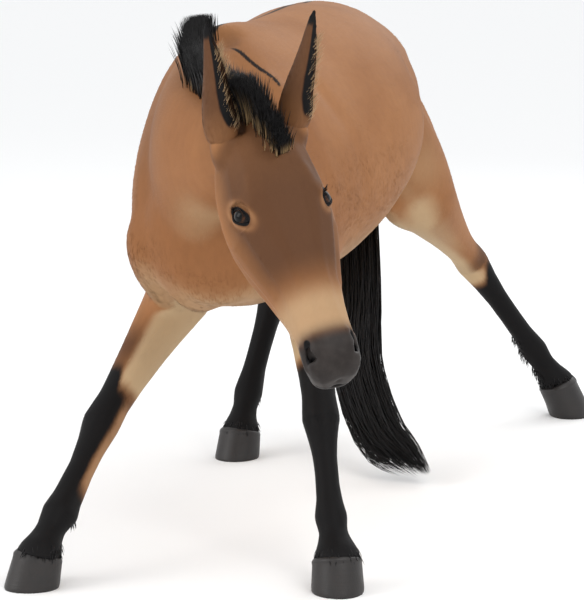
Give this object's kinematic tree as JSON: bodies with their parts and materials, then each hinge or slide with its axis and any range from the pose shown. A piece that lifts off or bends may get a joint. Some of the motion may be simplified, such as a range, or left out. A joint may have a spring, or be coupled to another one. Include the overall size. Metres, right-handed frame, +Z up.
{
  "type": "mule",
  "caption": "Life-size mule standing braced with its legs apart, its head lowered and turned to its left, its tail hanging between its hind legs.",
  "frame": {"origin": "on the floor under the middle of the animal's box", "axes": "+Z up, the animal faces -Y and its left side is +X"},
  "size_m": [0.7995, 2.2755, 1.1545],
  "materials": {
    "coat": "short sleek hair, warm brown with black points and pale cream underparts",
    "long_hair": "coarse black hair",
    "horn": "dull dark horn",
    "eye": "wet and glossy"
  },
  "bodies": {
    "root": {"torso": "coat", "neck": "coat", "head": "coat", "ear_left": "coat", "ear_right": "coat", "eye_left": "eye", "eye_right": "eye", "tail": "long_hair", "upper_fore_left": "coat", "lower_fore_left": "coat", "hoof_fore_left": "horn", "upper_fore_right": "coat", "lower_fore_right": "coat", "hoof_fore_right": "horn", "upper_hind_left": "coat", "lower_hind_left": "coat", "hoof_hind_left": "horn", "upper_hind_right": "coat", "lower_hind_right": "coat", "hoof_hind_right": "horn"}
  },
  "joints": []
}
